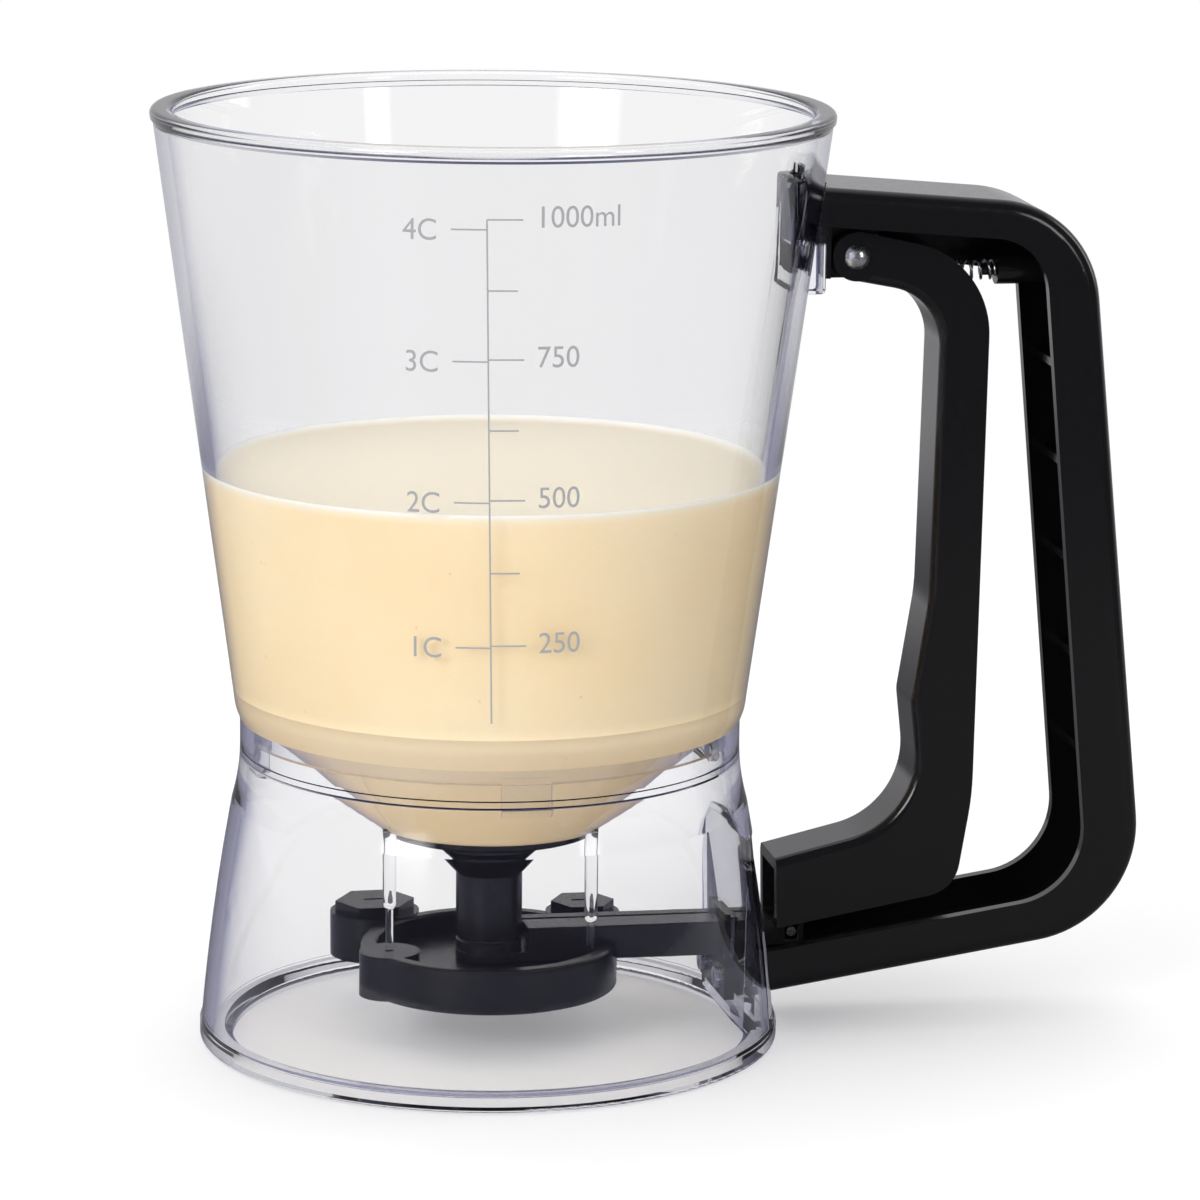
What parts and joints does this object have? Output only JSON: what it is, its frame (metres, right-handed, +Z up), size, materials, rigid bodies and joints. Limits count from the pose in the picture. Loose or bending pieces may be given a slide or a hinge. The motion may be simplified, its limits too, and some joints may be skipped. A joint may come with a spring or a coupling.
{
  "type": "batter dispenser",
  "caption": "Squeeze-handle batter dispenser: clear conical bowl on a flared skirt, side handle with a trigger whose gate opens a funnel outlet.",
  "frame": {"origin": "centre of the foot ring's bore, on the surface that the dispenser stands on", "axes": "+Z up along the bowl's axis, +X from the bowl's axis towards the handle, +Y away from the picture's camera side"},
  "size_m": [0.1977, 0.134, 0.1868],
  "materials": {
    "clear_plastic": "clear, polished",
    "black_plastic": "high gloss",
    "dish_plastic": "satin gloss",
    "beige_silicone": "satin",
    "black_silicone": "satin",
    "steel": "polished"
  },
  "bodies": {
    "dispenser": {"hopper": "clear_plastic", "base_skirt": "clear_plastic", "valve_posts": "clear_plastic", "outlet_plate": "black_plastic", "nozzle": "dish_plastic", "outlet_sleeve": "beige_silicone", "valve_dish": "dish_plastic", "lug_caps": "dish_plastic", "handle": "black_plastic", "hinge_bracket": "black_plastic", "pivot_rivet": "steel", "pivot_washers": "steel", "spring_seat": "black_plastic", "return_spring": "steel", "lower_clip": "black_plastic", "arm_guide": "black_plastic", "bracket_screws": "steel", "lower_screws": "steel"},
    "trigger": {"trigger": "black_plastic", "hitch_pin": "steel", "spring_peg": "black_plastic"},
    "gate": {"gate_arm": "dish_plastic", "valve_puck": "black_silicone"}
  },
  "joints": [
    {"name": "trigger_hinge", "type": "hinge", "parent": "dispenser", "child": "trigger", "pos_m": [0.0714, 0, 0.1574], "axis": [0, -1, 0], "range_deg": [0, 6.2], "stiffness_Nm_per_rad": 5, "springref_deg": -5.73, "deforming": ["return_spring"]},
    {"name": "gate_slide", "type": "slide", "parent": "dispenser", "child": "gate", "axis": [1, 0, 0], "range_m": [0, 0.0151]}
  ],
  "couplings": [
    {"joint": "gate_slide", "follows": "trigger_hinge", "m_per_rad": 0.1379}
  ]
}
